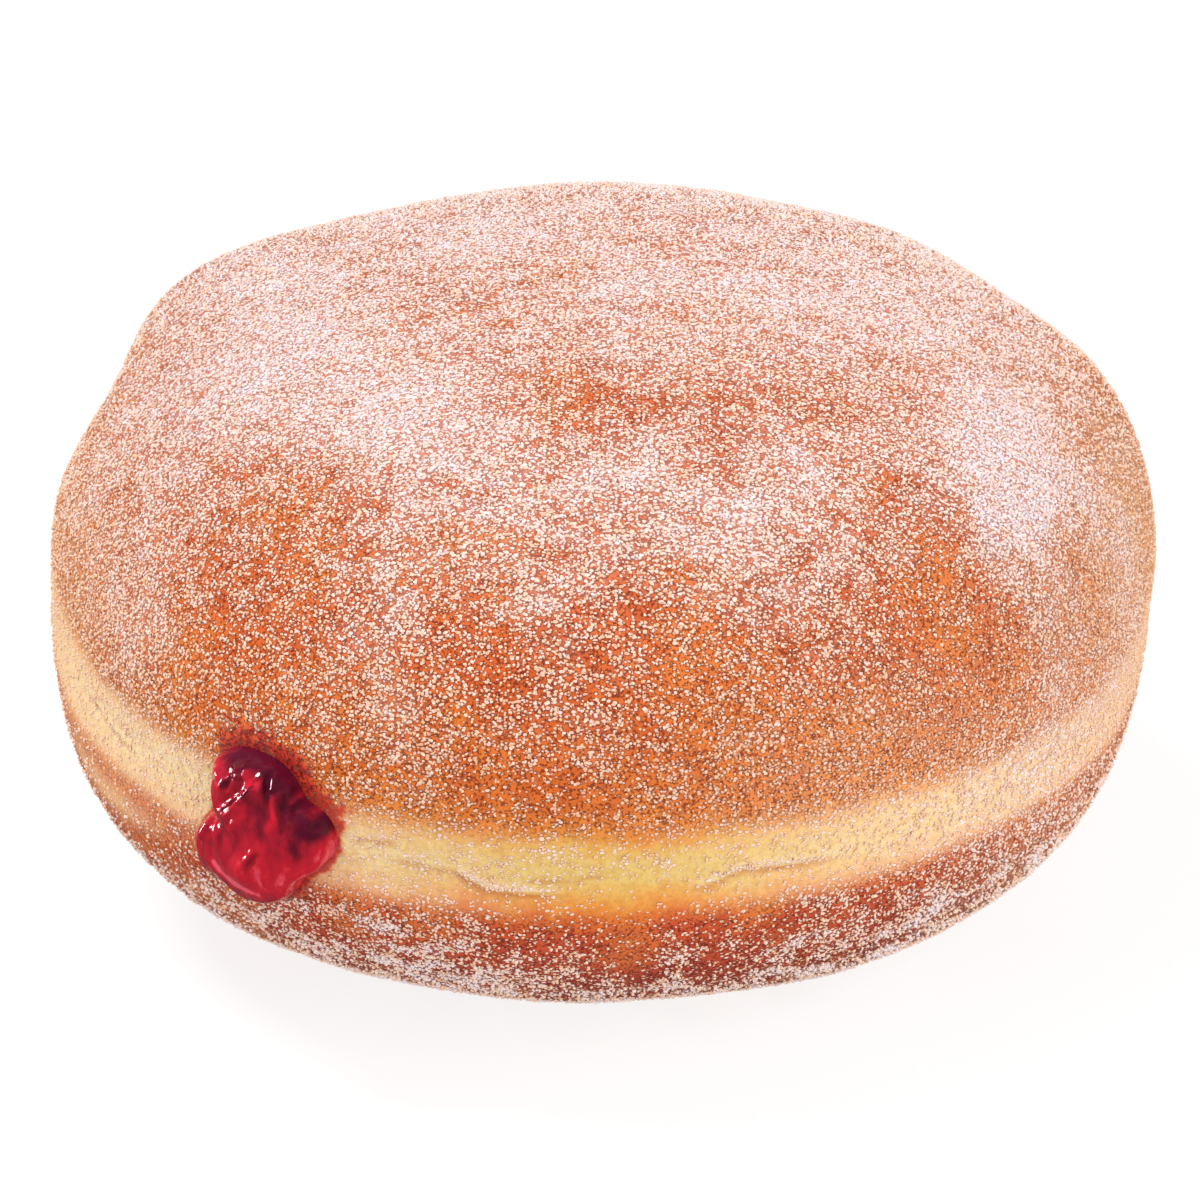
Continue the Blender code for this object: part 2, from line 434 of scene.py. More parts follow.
def foldShape(azimuth, height, fold):
    # how much of one fold's lip and of its groove lies at each point
    path = [(math.radians(turn), z * mm) for turn, z in fold["path"]]
    best = np.full(len(azimuth), 1.0)
    side, along = np.zeros(len(azimuth)), np.zeros(len(azimuth))
    for step, ((startTurn, startZ), (endTurn, endZ)) in enumerate(zip(path, path[1:])):
        alongX, alongZ = (endTurn - startTurn) * outerReach, endZ - startZ
        length = math.hypot(alongX, alongZ)
        turned = np.radians(turnedFrom(azimuth, math.degrees(startTurn)))
        dx, dz = turned * outerReach, height - startZ
        share = np.clip((dx * alongX + dz * alongZ) / length ** 2, 0, 1)
        gap = np.hypot(dx - share * alongX, dz - share * alongZ)
        above = (alongX * dz - alongZ * dx) / length
        side = np.where(gap < best, np.sign(above), side)
        along = np.where(gap < best, (step + share) / (len(path) - 1), along)
        best = np.minimum(best, gap)
    offset = best * side / (fold["width"] * mm)
    ends = foldLook["fade"]
    fade = rise(along, 0.0, ends) * rise(1 - along, 0.0, ends)
    (lipAt, lipSpread), (grooveAt, grooveSpread) = foldLook["lip"], foldLook["groove"]
    lip = fade * bell((offset - lipAt) / lipSpread)
    return lip, fade * bell((offset - grooveAt) / grooveSpread)


def backFolds():
    # more folds, at the sides and back
    chance = np.random.default_rng(foldLook["backSeed"])
    folds = []
    for start in foldLook["backAt"]:
        turn = start + chance.uniform(-4, 4)
        middle = float(bandMiddle(math.radians(turn))) / mm
        level = middle + chance.uniform(-2.2, 1.4)
        path = [(turn, level)]
        for _ in range(chance.integers(2, 5)):
            turn += chance.uniform(2, 4)
            level += chance.uniform(-0.5, 0.5)
            path.append((turn, level))
        folds.append({"path": path, "lip": chance.uniform(0.06, 0.22),
                      "groove": chance.uniform(0.14, 0.28), "width": chance.uniform(0.2, 0.3)})
    return folds


def buildCrust(bun):
    segments, rings = crustLook["segments"], crustLook["rings"]
    deselectAll()
    bpy.ops.mesh.primitive_uv_sphere_add(segments=segments, ring_count=rings, radius=1)
    crust = bpy.context.object
    crust.name = crust.data.name = "sugaredCrust"
    points = pointsOf(crust)
    ring = np.rint((np.arcsin(np.clip(points[:, 2], -1, 1)) / math.pi + 0.5) * rings).astype(int)
    widths, heights = ringLifts()
    azimuth = np.arctan2(points[:, 1], points[:, 0])
    azimuth += crustLook["frontBunching"] * np.cos(azimuth - math.pi)
    reachOut = np.where((ring == 0) | (ring == rings), 0, widths[ring])
    points = np.stack([reachOut * np.cos(azimuth), reachOut * np.sin(azimuth),
                       heights[ring] + widestLine], 1)
    movePoints(crust, points)
    finishWith(crust, "SHRINKWRAP", target=bun, wrap_method="NEAREST_SURFACEPOINT")
    finishWith(crust, "SMOOTH", factor=0.5, iterations=8)
    return crust


def roughenCrust(crust):
    points, outwards = pointsOf(crust), outwardsOf(crust)
    azimuth = np.arctan2(points[:, 1], points[:, 0])
    above = (points[:, 2] - bandMiddle(azimuth)) / mm
    offFoot = rise(points[:, 2] / mm, 0.3, 3.0)
    onBand = bell(above / 2.6)
    push = 0
    for height, size, seed, calm in crustLook["lumps"]:
        push = push + height * lumps(points, size, seed) * (1 - calm * onBand)
    push = push * mm * offFoot
    crease = np.zeros(len(points))
    for fold in bandFolds + backFolds():
        lip, groove = foldShape(azimuth, points[:, 2], fold)
        push += (fold["lip"] * lip - fold["groove"] * groove) * mm
        crease += groove * min(1, fold["groove"] * 2.5) - lip * fold["lip"]
    points = points + outwards * push[:, None]
    points[:, 2] = np.maximum(points[:, 2], crustLook["footLift"] * mm)
    movePoints(crust, points)
    return azimuth, above, np.clip(crease, -1, 1)


def caughtOnBand(azimuth, above):
    # more sugar has caught on the band at the right of the front, and some at the left
    caught = sum(amount * bell(turnedFrom(azimuth, turn) / spread)
                 for turn, spread, amount in dustCover["caught"])
    return caught * bell(above / dustCover["caughtReach"])


def clipDust(dust):
    return np.clip(dust, dustCover["least"], dustCover["most"])


def crownDust(points, azimuth, above):
    # how thickly sugar lies on the crown, from 0 to 1
    dust = dustCover["crown"]
    for amount, low, high in dustCover["crownRises"]:
        dust = dust + amount * rise(above, low, high)
    offBand = rise(above, 2, 6)
    patchy = 1 + 0.6 * lumps(points, 2.6, 8.8)
    for x, y, spread, amount in crownPatches:
        away = np.hypot(points[:, 0] / mm - x, points[:, 1] / mm - y)
        dust += amount * bell(away / spread) * offBand * patchy
    streaky = points * np.array((0.42, 1.0, 1.3))
    dust += 0.10 * lumps(points, 7.0, 2.2) + 0.24 * lumps(streaky, 1.6, 5.5)
    dust += 0.16 * lumps(streaky, 0.8, 7.7)
    return clipDust(dust + caughtOnBand(azimuth, above))


def bellyDust(points, azimuth, above):
    # below the band it lies in clumps and streaks, thickest along the bottom edge
    height = points[:, 2] / mm
    below, belowFrom, belowTo = dustCover["bellyBelow"]
    edge, edgeFrom, edgeTo = dustCover["bottomEdge"]
    dust = dustCover["belly"] + below * rise(-above, belowFrom, belowTo)
    dust = dust + edge * rise(-height, edgeFrom, edgeTo)
    for turn, at, spread, amount in bellyPatches:
        away = np.hypot(np.radians(turnedFrom(azimuth, turn)) * outerReach / mm, height - at)
        dust += amount * bell(away / spread)
    streaky = points @ np.array([[0.45, 0, -0.25], [0, 0.45, -0.25], [0.25, 0.25, 1.0]])
    clumps = rise(lumps(streaky, 1.7, 9.4) + 0.9 * lumps(streaky, 0.8, 4.1), -0.35, 0.70)
    return clipDust(dust * (0.50 + clumps) + caughtOnBand(azimuth, above))


def holePlaces(points):
    # places round the hole: to the right, up and out, in millimetres
    away = points - np.array(mouth)
    a = away @ np.array(across)
    c = away @ np.array(out)
    return a / mm, away[:, 2] / mm, c / mm


def placesFromHole(a, b, c):
    up = np.array((0.0, 0.0, 1.0))
    away = a[:, None] * np.array(across) + b[:, None] * up + c[:, None] * np.array(out)
    return np.array(mouth) + away * mm


def stainOn(points):
    # how much jelly has soaked into the crust: most above the blob and to its right
    a, b, c = holePlaces(points)
    near = (np.hypot(a, b) < 14) & (c > -8)
    reached = crustLook["stainReach"] * (0.25 + 0.75 * rise(0.3 * a + b, 1.5, 5.0))
    depth = np.zeros(len(points))
    for index in np.flatnonzero(near):
        gap = jellyTree.find_nearest(points[index])[3] / mm
        depth[index] = bell(gap / reached[index])
    return depth


def proofOf(azimuth, above):
    # height above the pale band, in the measure that the crust's colours go by
    narrow = bandLine["narrow"]
    for turn, spread, amount in bandLine["narrowing"]:
        narrow = narrow + amount * bell(turnedFrom(azimuth, turn) / spread)
    golden = sum(amount * bell(turnedFrom(azimuth, turn) / spread)
                 for turn, spread, amount in bandLine["goldenBelly"])
    proof = (above + bandLine["lowerBy"]) * narrow
    return proof * (1 - golden * rise(-above, *bandLine["goldenFrom"]))


def paleAndRimLitOf(azimuth, above):
    paleAndRimLitShare = 0
    for turn, spread, up, upSpread, amount in paleAndRimLitPlaces:
        near = bell(turnedFrom(azimuth, turn) / spread) * bell((above - up) / upSpread)
        paleAndRimLitShare = paleAndRimLitShare + amount * near
    return paleAndRimLitShare


bun = smoothBun()
bunTree = BVHTree.FromObject(bun, bpy.context.evaluated_depsgraph_get())
outside = out * 0.2 + Vector((0, 0, holeHeight))
mouth = bunTree.ray_cast(outside, -out)[0]      # where the hole opens

jellyLook = {
    "radius": 5.8,
    "bulge": 3.9,
    "flatness": 2.5,           # 2 is round, and more is flatter with steeper sides
    "shift": 0.1,              # to the right of the hole
    "sag": 1.2,                # below the hole
    "sunk": 1.2,               # how deep its back lies in the crust
    "crumple": 0.26,
    "crumpleSize": 2.3,
    "fineCrumple": 0.10,
    "fineSize": 0.9,
    "smoothAt": (2.4, -3.2),   # the smooth lower right: its middle and spread
    "smoothSpread": (3.4, 2.6),
    "smoothing": 1,
    "castFrom": 20.0,          # the crust is looked for from this far out
    "swirl": 0.9,
    # colours from thin to deep jelly; the pink thinnest end also paints a reflection of the
    # floor along the lower-left rim
    "colours": [(0.0, (212, 78, 96)), (0.22, (181, 27, 42)), (0.48, (152, 23, 40)),
                (0.74, (106, 17, 33)), (1.0, (72, 9, 30))],
}

# Lobes of its outline: turn in degrees, spread in degrees, push out.
jellyLobes = [
    (53, 12, -0.9), (88, 14, 0.3), (132, 24, 1.7), (160, 10, -2.9), (205, 12, 2.0),
    (230, 20, 1.2), (320, 23, -1.7),
]

# Ridges and grooves: start and end as (right, up), half width, and how far they stand out.
jellyRidges = [
    ((-2.5, 1.8), (-1.0, 3.3), 0.15, 0.60),
    ((-2.1, 1.3), (-0.8, 2.9), 0.14, 0.52),
    ((-2.5, 1.3), (0.2, 3.9), 0.46, 0.40),
    ((0.2, 3.9), (0.5, 5.1), 0.40, 0.40),
    ((-0.4, 3.4), (0.1, 4.0), 0.15, 0.56),
    ((-0.2, 3.3), (0.2, 3.9), 0.14, 0.50),
    ((-2.8, 2.0), (-1.0, 3.8), 0.34, -0.42),
    ((-0.6, 2.1), (1.1, 3.5), 0.34, -0.14),
    ((-1.5, 5.0), (-1.0, 4.4), 0.15, 0.30),
    ((-1.1, 4.5), (-0.6, 3.9), 0.17, 0.60),
    ((-1.2, 4.0), (-1.0, 3.9), 0.50, 0.34),
    ((-2.1, 4.4), (-1.5, 4.6), 0.16, 0.36),
    ((-1.7, 4.2), (-1.4, 4.3), 0.16, 0.44),
    ((-2.9, 4.5), (-2.6, 4.1), 0.30, -0.24),
    ((-2.4, 4.0), (-2.8, 3.6), 0.14, 0.42),
    ((-2.9, 3.4), (-2.9, 3.0), 0.14, 0.40),
    ((-2.5, 3.9), (-2.4, 3.2), 0.20, -0.30),
    ((-4.0, 3.8), (-3.4, 3.6), 0.20, 0.24),
    ((0.3, 4.5), (0.7, 4.0), 0.17, 0.46),
    ((1.0, 4.6), (1.3, 4.0), 0.15, 0.48),
    ((0.6, 4.6), (1.0, 4.0), 0.18, -0.38),
    ((-1.2, 1.1), (-1.2, 0.6), 0.14, 0.36),
    ((-4.7, -1.0), (-4.9, -2.0), 0.17, 0.42),
    ((0.6, -0.9), (0.2, -1.6), 0.18, 0.40),
    ((0.2, -1.6), (-0.2, -2.4), 0.20, 0.62),
    ((-0.1, -2.3), (-0.5, -3.0), 0.75, 0.50),
    ((0.9, -1.1), (0.3, -2.5), 0.22, -0.26),
    ((2.8, 3.0), (4.4, 1.7), 0.17, 0.34),
    ((3.0, 2.6), (4.9, 1.4), 0.22, -0.34),
    ((3.3, 2.3), (5.0, 1.1), 0.16, 0.26),
    ((1.1, 3.6), (1.7, 2.0), 0.22, -0.26),
    ((1.6, 3.7), (2.5, 1.6), 0.18, 0.26),
    ((2.0, 3.2), (2.9, 1.2), 0.18, -0.22),
    ((2.8, 2.6), (3.7, 0.8), 0.16, 0.26),
    ((3.3, 1.4), (3.8, -0.3), 0.20, -0.24),
    ((-3.0, 0.4), (-1.8, 0.4), 0.14, 0.16),
    ((-1.8, 0.4), (-0.9, -0.1), 0.14, 0.18),
    ((-0.9, -0.1), (-1.4, -1.6), 0.16, 0.18),
    ((0.2, 1.6), (0.9, 0.2), 0.26, -0.16),
    ((-3.6, -0.6), (-3.0, -2.8), 0.34, 0.14),
]

# Where the jelly is deep and dark, or thin and bright (less than none); the pink streaks along
# the lower-left rim are a painted reflection of the floor. Start and end as (right, up), half
# width, amount.
jellyDepthsAndReflections = [
    ((-2.6, 4.9), (-0.5, 5.3), 0.45, 1.3), ((0.8, 4.9), (2.2, 3.9), 0.55, 1.2),
    ((-4.0, 5.0), (-1.5, 5.7), 0.40, 0.9), ((-1.5, 5.7), (0.8, 5.3), 0.35, 0.9),
    ((0.4, 4.6), (1.2, 3.7), 0.30, 0.7), ((3.0, 2.7), (4.7, 1.3), 0.45, 1.3),
    ((4.8, 1.6), (5.4, 0.8), 0.40, 1.0), ((-2.3, 4.1), (-2.7, 3.3), 0.16, 0.8),
    ((-5.1, -1.9), (-4.8, -2.9), 0.22, 1.0), ((0.8, -1.1), (0.1, -2.4), 0.13, 0.8),
    ((-2.4, 1.6), (-1.0, 3.1), 0.08, 1.1), ((-0.3, 3.5), (0.1, 4.0), 0.08, 0.9),
    ((1.0, 2.4), (1.5, 0.8), 0.30, 0.5), ((3.7, 0.9), (4.2, -0.5), 0.34, 0.5),
    ((-0.5, 3.4), (0.9, 2.8), 0.30, 0.5), ((2.2, 3.0), (2.9, 1.4), 0.20, 0.6),
    ((-3.6, -3.6), (-1.3, -4.5), 0.30, -1.3), ((-1.3, -4.5), (0.6, -5.0), 0.28, -1.2),
    ((-4.6, 3.8), (-3.3, 3.2), 0.22, -0.8), ((1.6, 3.5), (2.4, 1.9), 0.14, -0.5),
    ((0.8, -2.6), (3.2, -3.4), 1.5, -0.7), ((5.6, 0.4), (5.6, -1.6), 0.45, -1.0),
    ((2.7, 3.2), (4.5, 2.0), 0.12, -0.6), ((0.3, 4.1), (0.5, 5.0), 0.14, -0.8),
    ((-1.0, 4.6), (-0.5, 4.0), 0.12, -0.6), ((-0.3, 0.8), (0.3, -0.6), 0.40, -0.3),
    ((-2.8, 0.0), (-2.6, -2.0), 0.30, 0.35),
]


def ridgeDepth(a, b, ridge):
    (startA, startB), (endA, endB), width, lift = ridge
    alongA, alongB = endA - startA, endB - startB
    length = math.hypot(alongA, alongB)
    share = ((a - startA) * alongA + (b - startB) * alongB) / length ** 2
    gap = np.hypot(a - startA - np.clip(share, 0, 1) * alongA,
                   b - startB - np.clip(share, 0, 1) * alongB)
    return lift * bell(gap / width)


def buildJelly():
    deselectAll()
    bpy.ops.mesh.primitive_ico_sphere_add(subdivisions=7, radius=1)
    blob = bpy.context.object
    blob.name = blob.data.name = "redJelly"
    unit = pointsOf(blob)
    turn = np.arctan2(unit[:, 1], unit[:, 0])
    rim = np.hypot(unit[:, 0], unit[:, 1])
    radius = np.full(len(unit), jellyLook["radius"])
    for at, spread, push in jellyLobes:
        off = (turn - math.radians(at) + math.pi) % (2 * math.pi) - math.pi
        radius += push * bell(off / math.radians(spread)) * rim ** 2
    a = unit[:, 0] * radius + jellyLook["shift"]
    b = unit[:, 1] * radius - jellyLook["sag"]
    flat = jellyLook["flatness"]
    swollen = np.maximum(1 - rim ** flat, 0) ** (1 / flat)
    c = swollen * np.where(unit[:, 2] > 0, jellyLook["bulge"], -jellyLook["sunk"])
    # it lies on the crust, which curves away from the hole
    castFrom = jellyLook["castFrom"]
    starts = placesFromHole(a, b, np.full(len(a), castFrom))
    inwards = -out
    hits = [bunTree.ray_cast(start, inwards)[3] for start in starts.tolist()]
    c = c + castFrom - np.array(hits) / mm
    movePoints(blob, placesFromHole(a, b, c))
    outwards = outwardsOf(blob)
    # the upper left is crumpled into chunks, and the lower right is smooth
    (smoothA, smoothB), (spreadA, spreadB) = jellyLook["smoothAt"], jellyLook["smoothSpread"]
    chunks = 1 - 0.9 * bell(np.hypot((a - smoothA) / spreadA, (b - smoothB) / spreadB))
    here = placesFromHole(a, b, c)
    creased = 1 - 2.2 * np.abs(lumps(here, jellyLook["crumpleSize"], 6.6))
    fine = jellyLook["fineCrumple"] * lumps(here, jellyLook["fineSize"], 2.9)
    push = jellyLook["crumple"] * creased * chunks + fine * chunks
    raised, sunken = np.zeros(len(unit)), np.zeros(len(unit))
    for ridge in jellyRidges:
        lift = ridgeDepth(a, b, ridge)
        raised, sunken = np.maximum(raised, lift), np.minimum(sunken, lift)
    push += raised + sunken
    facing = rise(unit[:, 2], 0.0, 0.3)
    movePoints(blob, here + outwards * (push * mm * facing)[:, None])
    finishWith(blob, "SMOOTH", factor=0.5, iterations=jellyLook["smoothing"])
    # depth: jelly thickness as colour, and the painted reflection of the floor along the
    # lower-left rim
    keepValues(blob, "depth", sum(ridgeDepth(a, b, streak) for streak in jellyDepthsAndReflections))
    pick(blob)
    bpy.ops.object.shade_smooth()
    return blob


def jellyFinish():
    finish = Finish("redJelly")
    place = finish.place()
    drawn = finish.stretched(place, (1.0, 1.0, 0.45))
    swirl = finish.cloud(drawn, jellyLook["swirl"], 3.0, 0.6)
    # depth paints thick jelly dark and thin jelly bright, and the floor's reflection pink along
    # the lower-left rim
    depth = finish.value("depth") * 0.4 + (swirl - 0.5) * 1.0 + 0.50
    stops = rampStops(jellyLook["colours"])
    colour = finish.node("ValToRGB", {"stops": stops}, {"Fac": depth})
    wet = finish.cloud(place, 0.6, 2.0)
    finish.feed(finish.shader, {
        "Base Color": colour,
        "Roughness": 0.06,
        "Normal": finish.bump(wet, 0.02),
        "IOR": 1.36,
        "Subsurface Weight": 0.15,
        "Subsurface Radius": (1.0, 0.06, 0.05),
        "Subsurface Scale": 1.0 * mm,
    })
    return finish


jelly = buildJelly()
jellyFinish().wear(jelly)
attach(jelly, "root")
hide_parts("jelly")
jellyTree = BVHTree.FromObject(jelly, bpy.context.evaluated_depsgraph_get())
print("jelly made:", len(jelly.data.polygons), "faces")

crust = buildCrust(bun)
azimuth, above, crease = roughenCrust(crust)
crustPoints, crustOut = pointsOf(crust), outwardsOf(crust)
crownSide = crownDust(crustPoints, azimuth, above)
dust = np.where(above > 0, crownSide, bellyDust(crustPoints, azimuth, above))
stain = stainOn(crustPoints)
onLips = np.clip(-crease, 0, 1)
dust = np.clip(dust + 3 * onLips, 0, dustCover["most"])      # sugar on the lips of folds
keepValues(crust, "proof", proofOf(azimuth, above))
keepValues(crust, "dust", dust)
keepValues(crust, "stain", stain)
# crease: above zero where the folds' grooves get painted shade, below zero on their paler lips
keepValues(crust, "crease", crease)
fromGolden = turnedFrom(azimuth, bandLine["goldenAt"]) / bandLine["goldenSpread"]
keepValues(crust, "pale", 1 - bell(fromGolden))
keepValues(crust, "fair", paleAndRimLitOf(azimuth, above))
pick(crust)
bpy.ops.object.shade_smooth()
bpy.data.objects.remove(bun)
print("crust made:", len(crust.data.polygons), "faces")


crustPaint = {
    # colours by height above the pale band, widened as proofOf says
    "band": [(-24, (146, 54, 36)), (-15, (176, 60, 32)), (-10, (194, 72, 30)),
             (-7, (205, 82, 28)), (-5.2, (217, 110, 34)), (-3.8, (225, 144, 54)),
             (-2.6, (224, 168, 82)), (-1.2, (222, 188, 108)), (0.8, (222, 188, 108)),
             (2.4, (224, 174, 86)), (3.6, (226, 150, 62)), (5, (226, 132, 46)),
             (8, (222, 115, 37)), (16, (214, 104, 38)), (28, (208, 108, 64))],
    "stain": [(0.0, (228, 112, 58)), (0.5, (214, 76, 46)), (1.0, (172, 36, 38))],
    "sugar": [(0.0, (236, 170, 130)), (0.25, (246, 198, 166)), (0.55, (247, 213, 200)),
              (0.8, (244, 224, 224)), (1.0, (237, 226, 234))],
    "blotch": (228, 204, 190),
    "cream": (242, 218, 176),      # the palest part of the band
    "crumb": (236, 214, 184),
    # paler crust, partly painted rim light at the right edge
    "fair": (238, 182, 130),
    "golden": (224, 132, 50),
    # groove is painted shade along the folds' grooves
    "groove": (192, 106, 46),
    "lip": (244, 222, 182),
    # gap is the colour of painted shade: the crust is multiplied by it round sugar grains
    "gap": (158, 116, 104),        # between grains
    "haze": (224, 166, 148),       # where fine sugar lies thick
    "tremble": 0.16,               # how far the specks are shaken out of their rows
    "coarse": 0.36,
    "fine": 0.25,
}


def crustFinish():
    finish = Finish("friedCrust")
    paint = {name: linear(*value) for name, value in crustPaint.items()
             if isinstance(value, tuple)}
    place = finish.place()
    wobble = finish.cloud(place, 4.0, 3.0) * 4.2 + finish.cloud(place, 1.1, 3.0) * 2.2 - 3.2
    proof = finish.value("proof")
    stops = crustPaint["band"]
    low, high = stops[0][0], stops[-1][0]
    spaced = rampStops([((at - low) / (high - low), colour) for at, colour in stops])
    sockets = {"Value": proof + wobble, "From Min": low, "From Max": high}
    along = finish.node("MapRange", {}, sockets)
    colour = finish.node("ValToRGB", {"stops": spaced}, {"Fac": along})
    browned = finish.between(proof, 2.0, 6.0).atLeast(finish.between(proof, -3.5, -7.0))
    blotch = finish.between(finish.cloud(place, 2.2, 4.0, 0.6), 0.30, 0.70)
    darker = finish.mix(1.0, colour, paint["blotch"], "MULTIPLY")
    colour = finish.mix(browned * (1 - blotch), colour, darker)
    cream = finish.value("pale") * (1 - browned) * 0.7
    colour = finish.mix(cream, colour, paint["cream"])
    crumb = finish.between(finish.cloud(place, 0.5, 3.0, 0.6), 0.42, 0.62) * 0.5
    tanned = finish.mix(1.0, colour, paint["crumb"], "MULTIPLY")
    colour = finish.mix(crumb * (1 - browned), colour, tanned)
    # paler crust, partly painted rim light at the right edge
    colour = finish.mix(finish.value("fair"), colour, paint["fair"])
    golden = finish.between(finish.cloud(place, 9.0, 3.0), 0.50, 0.66)
    colour = finish.mix(golden * browned * 0.38, colour, paint["golden"])
    crease = finish.value("crease")
    # the folds' grooves get painted shade
    colour = finish.mix((crease.atLeast(0.0) * 0.9).atMost(1.0), colour, paint["groove"])
    colour = finish.mix(((0 - crease).atLeast(0.0) * 3).atMost(1.0), colour, paint["lip"])
    stain = finish.value("stain") + finish.cloud(place, 0.7, 3.0) * 1.3 - 0.70
    soaked = finish.between(stain, 0.2, 0.7)
    stops = rampStops(crustPaint["stain"])
    fresh = finish.node("ValToRGB", {"stops": stops}, {"Fac": stain})
    colour = finish.mix(soaked * 0.95, colour, fresh)
    # a veil of fine sugar: packed specks, each with a painted shadow round it
    dust = finish.value("dust")
    tremble = finish.node("TexNoise", {}, {"Vector": place, "Scale": 1 / (0.3 * mm)}, "Color")
    sockets = {0: tremble, "Scale": crustPaint["tremble"] * mm}
    nudge = finish.node("VectorMath", {"operation": "SCALE"}, sockets)
    shaken = finish.node("VectorMath", {"operation": "ADD"}, {0: place, 1: nudge})
    shaken = finish.stretched(shaken, (0.78, 1.0, 1.1))
    size = crustPaint["coarse"]
    coarse, coarseShadowRing, coarseTone = finish.specks(shaken, size, dust * 0.08 + 0.39, dust * 1.05)
    size = crustPaint["fine"]
    fine, fineShadowRing, fineTone = finish.specks(shaken, size, dust * 0.08 + 0.38, dust * 1.1 + 0.08)
    white = coarse.atLeast(fine * 0.85)
    grainShadows = coarseShadowRing.atLeast(fineShadowRing)
    grain = finish.between(finish.cloud(place, 0.24, 2.0), 0.51, 0.60)
    # painted shade: painted shadows round the specks together with fine random dark mottling, on
    # the browned crust
    shade = grainShadows.atLeast(grain * 0.9) * browned.atLeast(0.10)
    shaded = finish.mix(1.0, colour, paint["gap"], "MULTIPLY")
    colour = finish.mix(shade, colour, shaded)
    thick = finish.between(dust, 0.30, 1.15)
    haze = thick * finish.between(proof, 0.0, 9.0, 0.15, 0.60)
    colour = finish.mix(haze, colour, paint["haze"])
    white = white * (1 - soaked * 0.9)
    tone = (fineTone + (coarseTone - fineTone) * coarse) * 0.5 + thick * 0.6
    tone = tone + (1 - browned) * 0.2
    stops = rampStops(crustPaint["sugar"])
    sugar = finish.node("ValToRGB", {"stops": stops}, {"Fac": tone})
    colour = finish.mix(white * 0.92, colour, sugar)
    relief = finish.bump(finish.cloud(place, 0.9, 3.0), 0.03)
    relief = finish.bump(white, 0.08, 1.0, relief)
    finish.feed(finish.shader, {
        "Base Color": colour,
        "Roughness": finish.between(soaked, 0.0, 1.0, 0.62, 0.28),
        "Normal": relief,
        "Specular IOR Level": 0.35,
    })
    return finish


crustFinish().wear(crust)
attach(crust, "root")
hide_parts("dough")


# Each kind of sugar: how many grains, their sizes, where they lie and how deep they are sunk.
sugarKinds = {
    "sugarCrown": {"shape": "box", "count": 16384, "size": (0.15, 0.25), "seed": 21},
    "sugarVeil": {"shape": "chip", "count": 24500, "size": (0.14, 0.20), "seed": 22},
    "sugarShoulder": {"shape": "chip", "count": 24500, "size": (0.15, 0.23), "seed": 23},
    "sugarBelly": {"shape": "box", "count": 16384, "size": (0.14, 0.23), "seed": 24},
    "sugarClumps": {"shape": "box", "count": 16384, "size": (0.17, 0.29), "seed": 25},
}

sugarLook = {
    "sunk": 0.20,              # the least share of a grain that is sunk in the crust
    "sunkMore": 0.10,          # and up to this much more
    "clearOfJelly": 0.30,
    "boxSides": [(1.0, 0.84, 0.66), (0.9, 0.9, 0.8), (1.1, 0.74, 0.60), (1.0, 0.7, 0.7)],
    "chipSides": [(1.2, 1.0, 0.8), (1.1, 1.1, 0.9), (1.3, 0.9, 0.8), (1.2, 0.8, 0.9)],
    "cornerShake": 0.12,
    "tintVaries": 0.54,        # tint goes from 0, cool white, to 1, warm and browned
    "tintThin": 0.46,          # more of it where sugar lies thin
    "tintShoulder": 0.18,
    "tintOnBand": 0.62,
    "squareEdge": 0.08,        # each grain's square on the map: its edge and its inside
    "squareInside": 0.84,
    # colours by tint
    "colours": [(0.0, (238, 228, 236)), (0.25, (247, 227, 223)), (0.5, (248, 216, 196)),
                (0.75, (246, 198, 160)), (1.0, (236, 168, 118))],
}


def modelCrystals(shape):
    # four sugar crystals of one shape, with their corners pulled about
    corners = []
    for index, sides in enumerate(sugarLook[shape + "Sides"]):
        deselectAll()
        if shape == "box":
            bpy.ops.mesh.primitive_cube_add(size=1)
        else:
            bpy.ops.mesh.primitive_cylinder_add(vertices=3, radius=0.6, depth=0.9)
        crystal = bpy.context.object
        bpy.ops.object.mode_set(mode="EDIT")
        bpy.ops.mesh.select_all(action="SELECT")
        bpy.ops.transform.resize(value=sides)
        bpy.ops.transform.vertex_random(offset=sugarLook["cornerShake"], seed=index + 3)
        bpy.ops.mesh.quads_convert_to_tris()
        bpy.ops.object.mode_set(mode="OBJECT")
        corners.append(pointsOf(crystal))
        faces = [list(face.vertices) for face in crystal.data.polygons]
        bpy.data.objects.remove(crystal)
    return np.array(corners), np.array(faces)


def crustFaces():
    # the crust's triangles, as three points each, and their areas
    mesh = crust.data
    mesh.calc_loop_triangles()
    threes = np.empty(len(mesh.loop_triangles) * 3, np.int32)
    mesh.loop_triangles.foreach_get("vertices", threes)
    threes = threes.reshape(-1, 3)
    areas = np.empty(len(threes))
    mesh.loop_triangles.foreach_get("area", areas)
    return threes, areas


def thickness(kind):
    # how thickly each kind lies at the points of the crust
    height = crustPoints[:, 2] / mm
    onCrown = rise(above, 1.5, 5.0)
    onBand = bell(above / 3.0)
    if kind == "sugarCrown":
        return dust * onCrown
    if kind == "sugarVeil":
        return dust ** 1.3 * onCrown * (0.35 + 0.65 * rise(above, 8, 20))
    if kind == "sugarShoulder":
        side = bell((above - 8) / 6.5) * (0.25 + dust) + 0.30 * dust * rise(-above, 3, 7)
        return side + onBand * (0.16 + 1.8 * caughtOnBand(azimuth, above) + 8 * onLips)
    if kind == "sugarBelly":
        return dust * rise(-above, 2.0, 5.0) * rise(height, 0.0, 0.8)
    return dust ** 2.2 * (0.30 + 0.70 * rise(-above, 2, 8)) * rise(np.abs(above), 2.5, 5)


